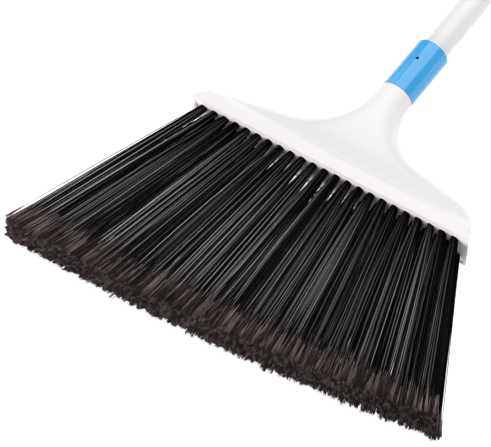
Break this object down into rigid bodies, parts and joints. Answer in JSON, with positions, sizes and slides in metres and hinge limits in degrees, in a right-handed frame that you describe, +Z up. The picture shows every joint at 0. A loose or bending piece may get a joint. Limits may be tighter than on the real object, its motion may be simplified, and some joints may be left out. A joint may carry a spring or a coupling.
{
  "type": "broom",
  "caption": "Household broom: fan-shaped plastic head with spreading flagged bristles on a slanted trim line, screw-in tube handle with a collar and a hanging cap.",
  "frame": {"origin": "on the flat face of the skirt's back, on which the broom lies, straight behind the handle axis and half way up that face", "axes": "+X along the head, +Y along the handle towards its hanging end, +Z up out of the head's front"},
  "size_m": [0.4372, 1.3865, 0.0448],
  "materials": {
    "head_plastic": "satin moulded white",
    "plank_plastic": "satin moulded white",
    "bristle": "black filaments, paler flagged tips",
    "washer_plastic": "plain",
    "tip_plastic": "plain",
    "coated_tube": "white powder coat",
    "blue_plastic": "glossy blue",
    "dark_screw": "blackened"
  },
  "bodies": {
    "head": {"head_cover": "head_plastic", "tuft_plank": "plank_plastic", "bristle_row_front": "bristle", "bristle_row_middle": "bristle", "bristle_row_rear": "bristle"},
    "washer": {"neck_washer": "washer_plastic"},
    "handle": {"threaded_tip": "tip_plastic", "handle_tube": "coated_tube", "collar": "blue_plastic", "collar_screw": "dark_screw", "hang_cap": "blue_plastic"}
  },
  "joints": [
    {"name": "handle_turn", "type": "hinge", "parent": "head", "child": "washer", "pos_m": [0, 0.10145, 0.0224], "axis": [0, 1, 0], "range_deg": [0, 1800.1]},
    {"name": "handle_rise", "type": "slide", "parent": "washer", "child": "handle", "axis": [0, 1, 0], "range_m": [0, 0.0254]}
  ],
  "couplings": [
    {"joint": "handle_turn", "follows": "handle_rise", "rad_per_m": 1236.8}
  ]
}
